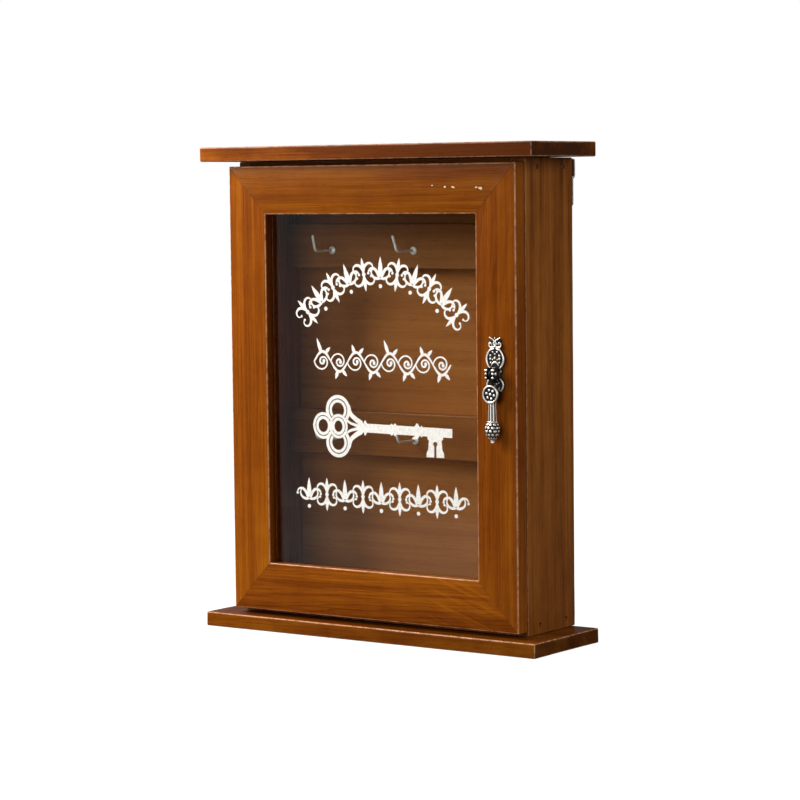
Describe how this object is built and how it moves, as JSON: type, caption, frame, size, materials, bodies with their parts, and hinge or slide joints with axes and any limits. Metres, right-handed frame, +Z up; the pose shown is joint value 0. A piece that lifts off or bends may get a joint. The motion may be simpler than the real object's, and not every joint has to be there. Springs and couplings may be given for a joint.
{
  "type": "key cabinet",
  "caption": "Shallow wooden wall key cabinet with overhanging top and bottom boards, hook rails inside and a glazed mitred door with a drop handle.",
  "frame": {"origin": "centre of the bottom board's underside", "axes": "+Z up, the front and the door face -Y, the wall side is +Y, +X to the right seen from the front; the door's hinges are at -X"},
  "size_m": [0.2616, 0.0797, 0.32],
  "materials": {
    "case_wood": "stained brown softwood, satin varnish",
    "door_wood": "stained orange-brown softwood, satin varnish",
    "back_wood": "stained plywood and pine, matt",
    "glass": "clear float glass",
    "white_film": "matt white transfer",
    "hook_steel": "nickel plated",
    "plated_steel": "zinc plated",
    "dark_steel": "dull dark steel",
    "aged_bronze": "aged bronze with bright worn high spots"
  },
  "bodies": {
    "carcass": {"back_panel": "back_wood", "bottom_board": "case_wood", "case_bottom_panel": "case_wood", "case_top_panel": "case_wood", "catch_magnet": "dark_steel", "left_bottom_back_brad": "dark_steel", "left_bottom_front_brad": "dark_steel", "left_hanger_screw_1": "plated_steel", "left_hanger_screw_2": "plated_steel", "left_side": "case_wood", "left_top_back_brad": "dark_steel", "left_top_front_brad": "dark_steel", "left_wall_hanger": "plated_steel", "lower_hinge_case_leaf": "plated_steel", "lower_hinge_case_screw_1": "plated_steel", "lower_hinge_case_screw_2": "plated_steel", "lower_hinge_pin": "plated_steel", "lower_hook_1": "hook_steel", "lower_hook_2": "hook_steel", "lower_hook_3": "hook_steel", "lower_key_rail": "back_wood", "right_bottom_back_brad": "dark_steel", "right_bottom_front_brad": "dark_steel", "right_hanger_screw_1": "plated_steel", "right_hanger_screw_2": "plated_steel", "right_side": "case_wood", "right_top_back_brad": "dark_steel", "right_top_front_brad": "dark_steel", "right_wall_hanger": "plated_steel", "top_board": "case_wood", "upper_hinge_case_leaf": "plated_steel", "upper_hinge_case_screw_1": "plated_steel", "upper_hinge_case_screw_2": "plated_steel", "upper_hinge_pin": "plated_steel", "upper_hook_1": "hook_steel", "upper_hook_2": "hook_steel", "upper_hook_3": "hook_steel", "upper_key_rail": "back_wood"},
    "door": {"bottom_glazing_bead": "case_wood", "catch_strike": "plated_steel", "door_bottom_rail": "door_wood", "door_top_rail": "door_wood", "glass_pane": "glass", "handle_backplate": "aged_bronze", "handle_stile": "door_wood", "hinge_stile": "door_wood", "key_transfer": "white_film", "left_glazing_bead": "case_wood", "lower_hinge_door_leaf": "plated_steel", "lower_hinge_door_screw_1": "plated_steel", "lower_hinge_door_screw_2": "plated_steel", "post_nut": "plated_steel", "pull_pin": "aged_bronze", "pull_post": "aged_bronze", "right_glazing_bead": "case_wood", "top_glazing_bead": "case_wood", "upper_hinge_door_leaf": "plated_steel", "upper_hinge_door_screw_1": "plated_steel", "upper_hinge_door_screw_2": "plated_steel"},
    "pull": {"drop_pull": "aged_bronze"}
  },
  "joints": [
    {"name": "door_hinge", "type": "hinge", "parent": "carcass", "child": "door", "pos_m": [-0.11515, -0.0183, 0.16], "axis": [0, 0, -1], "range_deg": [0, 180]},
    {"name": "pull_swing", "type": "hinge", "parent": "door", "child": "pull", "pos_m": [0.09805, -0.0349, 0.176], "axis": [-1, 0, 0], "range_deg": [0, 85]}
  ]
}
